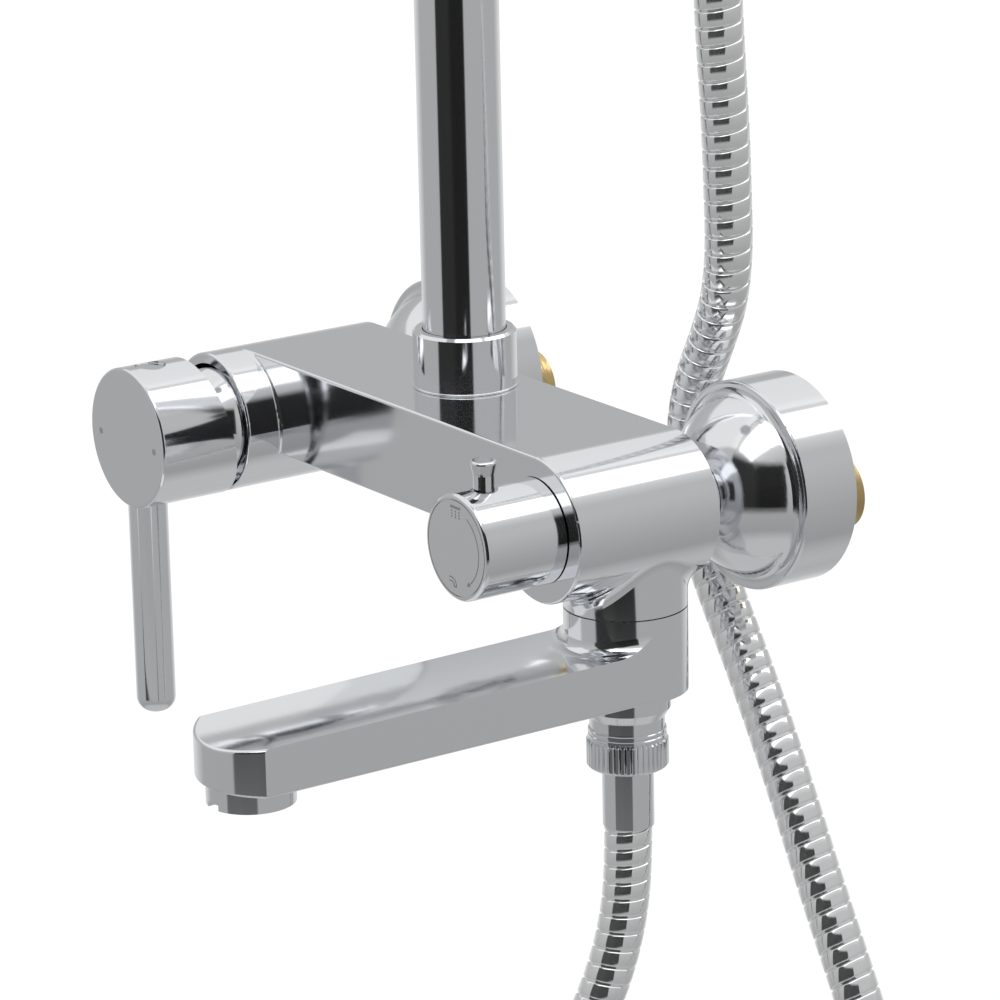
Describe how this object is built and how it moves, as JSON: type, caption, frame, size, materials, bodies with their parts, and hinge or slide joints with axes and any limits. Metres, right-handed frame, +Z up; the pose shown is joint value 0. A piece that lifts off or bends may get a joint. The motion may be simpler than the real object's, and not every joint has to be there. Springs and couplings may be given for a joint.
{
  "type": "shower system",
  "caption": "Wall-mounted shower system: single-lever bath mixer with swivel spout and diverter, riser with overhead shower, hand shower on a slider and a metal hose.",
  "frame": {"origin": "on the wall face, midway between the two inlet axes", "axes": "+X to the right of a user who faces the wall, +Y into the wall, +Z up"},
  "size_m": [0.2695, 0.5242, 1.342],
  "materials": {
    "polished_chrome": "polished",
    "bare_brass": "machined",
    "seal_rubber": "matte",
    "white_plastic": "matte",
    "spray_plastic": "satin",
    "plain_steel": "plain"
  },
  "bodies": {
    "mixer": {"arm_ball": "polished_chrome", "arm_tube": "polished_chrome", "bracket_clamp": "polished_chrome", "bracket_rose": "polished_chrome", "bracket_screws": "plain_steel", "bracket_wall_plate": "plain_steel", "cartridge_dome": "polished_chrome", "cartridge_ring_nut": "bare_brass", "ceramic_cartridge": "white_plastic", "diverter_cartridge": "bare_brass", "diverter_gland_nut": "bare_brass", "hose_ferrule_lower": "polished_chrome", "hose_nut_lower": "polished_chrome", "hose_tail_lower": "bare_brass", "hose_washer_lower": "seal_rubber", "mixer_body": "polished_chrome", "outlet_sleeve": "polished_chrome", "riser_collar": "polished_chrome", "riser_coupling": "polished_chrome", "riser_seal": "seal_rubber", "riser_tube": "polished_chrome", "shower_hose": "polished_chrome", "spout_seals": "seal_rubber", "spout_slip_ring": "white_plastic", "union_nuts": "bare_brass", "union_washers": "seal_rubber", "wall_flange_left": "polished_chrome", "wall_flange_right": "polished_chrome", "wall_union_left": "bare_brass", "wall_union_right": "bare_brass"},
    "lever_carrier": {"cartridge_driver": "white_plastic", "pivot_pin": "plain_steel"},
    "lever": {"lever_cap": "polished_chrome", "lever_rod": "polished_chrome", "cartridge_stem": "plain_steel", "lever_screw": "plain_steel", "index_plug": "polished_chrome"},
    "diverter": {"diverter_knob": "polished_chrome", "knob_pin": "polished_chrome", "knob_face_plate": "polished_chrome", "diverter_spindle": "plain_steel", "diverter_screw": "plain_steel"},
    "spout_arm": {"spout": "polished_chrome", "aerator_housing": "polished_chrome", "aerator_insert": "white_plastic", "aerator_washer": "seal_rubber"},
    "slider": {"slider_body": "polished_chrome", "slider_bush": "white_plastic", "hand_shower_holder": "polished_chrome", "hand_shower_shell": "polished_chrome", "hand_spray_plate": "spray_plastic", "cone_nut": "polished_chrome", "hose_washer_upper": "seal_rubber", "hose_tail_upper": "bare_brass", "hose_ferrule_upper": "polished_chrome"},
    "slider_lock": {"slider_lock_knob": "polished_chrome", "slider_lock_screw": "plain_steel"},
    "overhead": {"ball_nut": "polished_chrome", "overhead_shell": "polished_chrome", "overhead_spray_plate": "spray_plastic"}
  },
  "joints": [
    {"name": "lever_turn", "type": "hinge", "parent": "mixer", "child": "lever_carrier", "pos_m": [-0.075, -0.092, 0], "axis": [0, 1, 0], "range_deg": [-45, 45]},
    {"name": "lever_lift", "type": "hinge", "parent": "lever_carrier", "child": "lever", "pos_m": [-0.075, -0.092, 0], "axis": [-1, 0, 0], "range_deg": [0, 22]},
    {"name": "diverter_turn", "type": "hinge", "parent": "mixer", "child": "diverter", "pos_m": [0.075, -0.1, 0], "axis": [0, 1, 0], "range_deg": [0, 180]},
    {"name": "spout_swivel", "type": "hinge", "parent": "mixer", "child": "spout_arm", "pos_m": [0.075, -0.0576, -0.04], "axis": [0, 0, 1], "range_deg": [-90, 90]},
    {"name": "slider_slide", "type": "slide", "parent": "mixer", "child": "slider", "axis": [0, 0, 1], "range_m": [-0.25, 0.08], "deforming": ["shower_hose"]},
    {"name": "slider_lock_turn", "type": "hinge", "parent": "slider", "child": "slider_lock", "pos_m": [-0.036, -0.0582, 0.59], "axis": [-1, 0, 0], "range_deg": [-90, 0]},
    {"name": "overhead_tilt", "type": "hinge", "parent": "mixer", "child": "overhead", "pos_m": [0, -0.3882, 0.802], "axis": [1, 0, 0], "range_deg": [-15, 15]}
  ]
}
